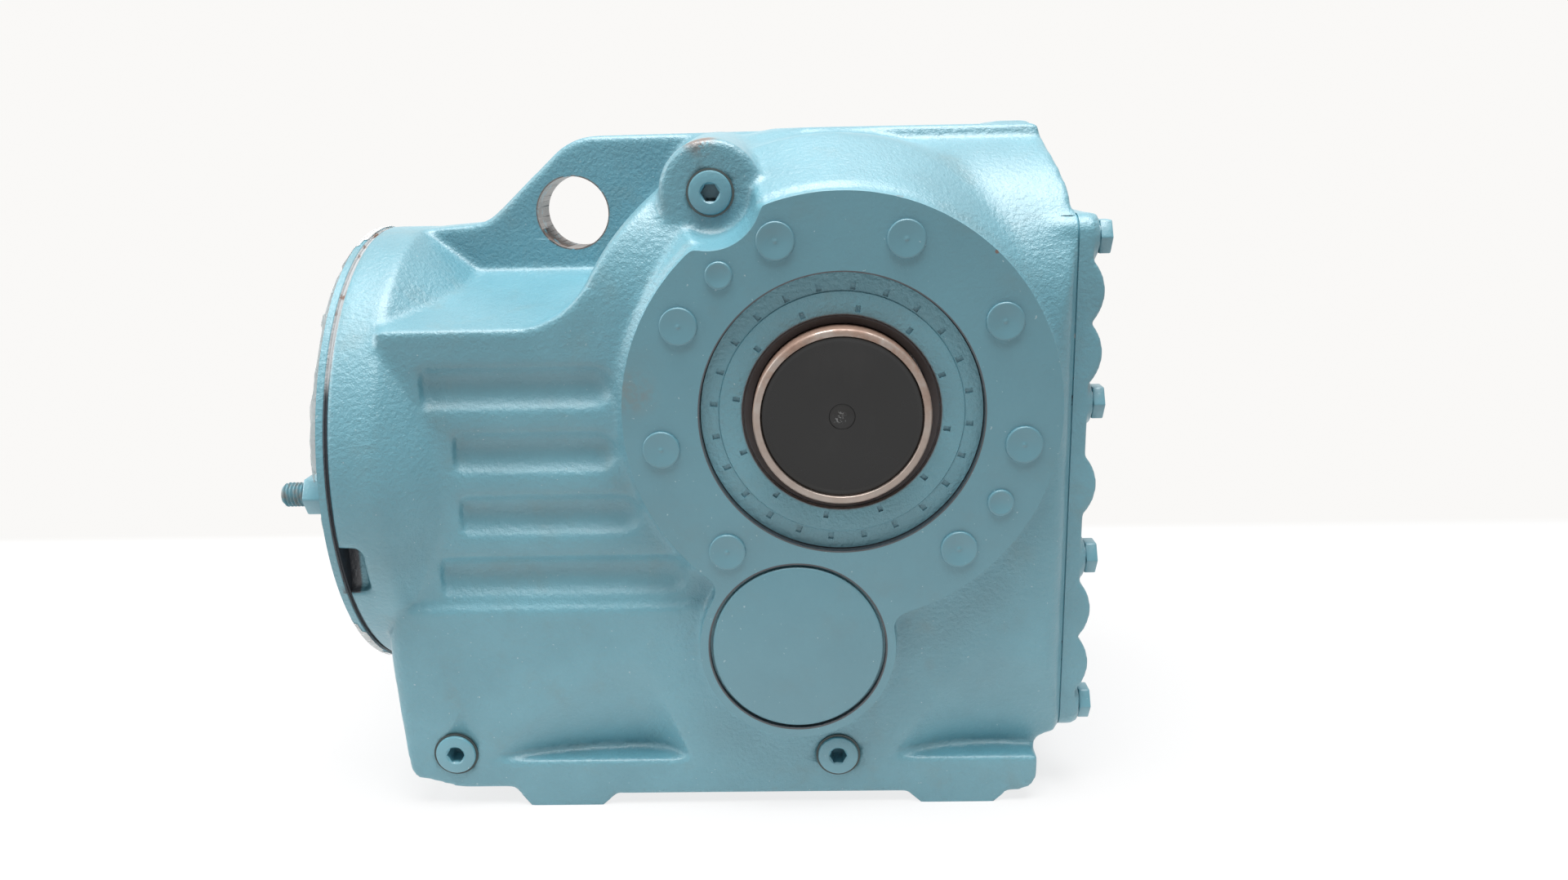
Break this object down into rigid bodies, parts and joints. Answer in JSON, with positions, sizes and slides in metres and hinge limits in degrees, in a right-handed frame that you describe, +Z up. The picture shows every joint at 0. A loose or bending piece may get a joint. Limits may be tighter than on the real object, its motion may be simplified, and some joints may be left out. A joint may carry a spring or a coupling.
{
  "type": "helical bevel gearbox",
  "caption": "Right-angle helical bevel gearbox with hollow output shaft, round output faces, lifting lug, feet, input flange and a working gear train inside.",
  "frame": {"origin": "on the output axis, midway between the two output faces", "axes": "+Y along the output shaft towards the rear, +X away from the input flange, +Z up"},
  "size_m": [0.4054, 0.245, 0.3476],
  "materials": {
    "paint": "satin enamel on cast iron",
    "painted_screws": "satin enamel over steel",
    "painted_caps": "plastic painted over with the housing",
    "black_cap": "smooth black",
    "bare_shaft": "bare turned steel, lightly rusted",
    "stud_steel": "zinc grey",
    "lip_rubber": "matt",
    "gasket": "dark sealing sheet",
    "ring_copper": "dull copper",
    "film": "pale film",
    "gear_steel": "ground",
    "bearing_steel": "polished"
  },
  "bodies": {
    "housing": {"housing": "paint", "side_cover": "paint", "side_cover_gasket": "gasket", "side_cover_bolts": "painted_screws", "input_carrier": "paint", "input_gasket": "gasket", "masking_film": "film", "input_studs": "stud_steel", "input_nuts": "painted_screws", "input_seal": "lip_rubber", "input_bearing_outer_rings": "bearing_steel", "output_seal_cases": "paint", "output_seal_lips": "lip_rubber", "output_retaining_rings": "bearing_steel", "output_bearing_outer_rings": "bearing_steel", "hole_caps": "painted_caps", "dowel_caps": "painted_caps", "closing_caps": "paint", "intermediate_shims": "bearing_steel", "intermediate_bearing_cups": "bearing_steel", "pinion_bearing_cups": "bearing_steel", "filler_plug": "painted_screws", "level_plug": "painted_screws", "drain_plug": "painted_screws", "plug_rings": "ring_copper"},
    "output_shaft": {"output_shaft": "bare_shaft", "output_gear": "gear_steel", "output_gear_key": "bearing_steel", "output_spacer": "bearing_steel", "output_bearing_inner_rings": "bearing_steel", "shaft_cap": "black_cap"},
    "output_balls": {"output_bearing_ball_sets": "bearing_steel"},
    "intermediate_shaft": {"intermediate_shaft": "gear_steel", "bevel_wheel": "gear_steel", "bevel_wheel_key": "bearing_steel", "intermediate_spacer": "bearing_steel", "intermediate_bearing_cones": "bearing_steel"},
    "intermediate_rollers": {"intermediate_bearing_roller_sets": "bearing_steel"},
    "bevel_pinion": {"bevel_pinion_shaft": "gear_steel", "first_wheel": "gear_steel", "first_wheel_key": "bearing_steel", "first_wheel_spacer": "bearing_steel", "pinion_bearing_cones": "bearing_steel", "pinion_lock_nut": "bearing_steel"},
    "pinion_rollers": {"pinion_bearing_roller_sets": "bearing_steel"},
    "input_pinion": {"input_pinion": "gear_steel", "input_bearing_inner_rings": "bearing_steel"},
    "input_balls": {"input_bearing_ball_sets": "bearing_steel"}
  },
  "joints": [
    {"name": "output_spin", "type": "hinge", "parent": "housing", "child": "output_shaft", "pos_m": [0, 0, 0], "axis": [0, 1, 0], "continuous": true},
    {"name": "output_balls_spin", "type": "hinge", "parent": "housing", "child": "output_balls", "pos_m": [0, 0, 0], "axis": [0, 1, 0], "continuous": true},
    {"name": "intermediate_spin", "type": "hinge", "parent": "housing", "child": "intermediate_shaft", "pos_m": [-0.02286, 0, -0.11872], "axis": [0, 1, 0], "continuous": true},
    {"name": "intermediate_rollers_spin", "type": "hinge", "parent": "housing", "child": "intermediate_rollers", "pos_m": [-0.02286, 0, -0.11872], "axis": [0, 1, 0], "continuous": true},
    {"name": "bevel_pinion_spin", "type": "hinge", "parent": "housing", "child": "bevel_pinion", "pos_m": [-0.14, 0, -0.11872], "axis": [1, 0, 0], "continuous": true},
    {"name": "pinion_rollers_spin", "type": "hinge", "parent": "housing", "child": "pinion_rollers", "pos_m": [-0.14, 0, -0.11872], "axis": [1, 0, 0], "continuous": true},
    {"name": "input_spin", "type": "hinge", "parent": "housing", "child": "input_pinion", "pos_m": [-0.225, 0, -0.03723], "axis": [1, 0, 0], "continuous": true},
    {"name": "input_balls_spin", "type": "hinge", "parent": "housing", "child": "input_balls", "pos_m": [-0.225, 0, -0.03723], "axis": [1, 0, 0], "continuous": true}
  ],
  "couplings": [
    {"joint": "output_balls_spin", "follows": "output_spin", "ratio": 0.43488},
    {"joint": "intermediate_spin", "follows": "output_spin", "ratio": -3.5882},
    {"joint": "intermediate_rollers_spin", "follows": "output_spin", "ratio": -1.5241},
    {"joint": "bevel_pinion_spin", "follows": "output_spin", "ratio": -10.508},
    {"joint": "pinion_rollers_spin", "follows": "output_spin", "ratio": -4.4635},
    {"joint": "input_spin", "follows": "output_spin", "ratio": 27.816},
    {"joint": "input_balls_spin", "follows": "output_spin", "ratio": 11.848}
  ]
}
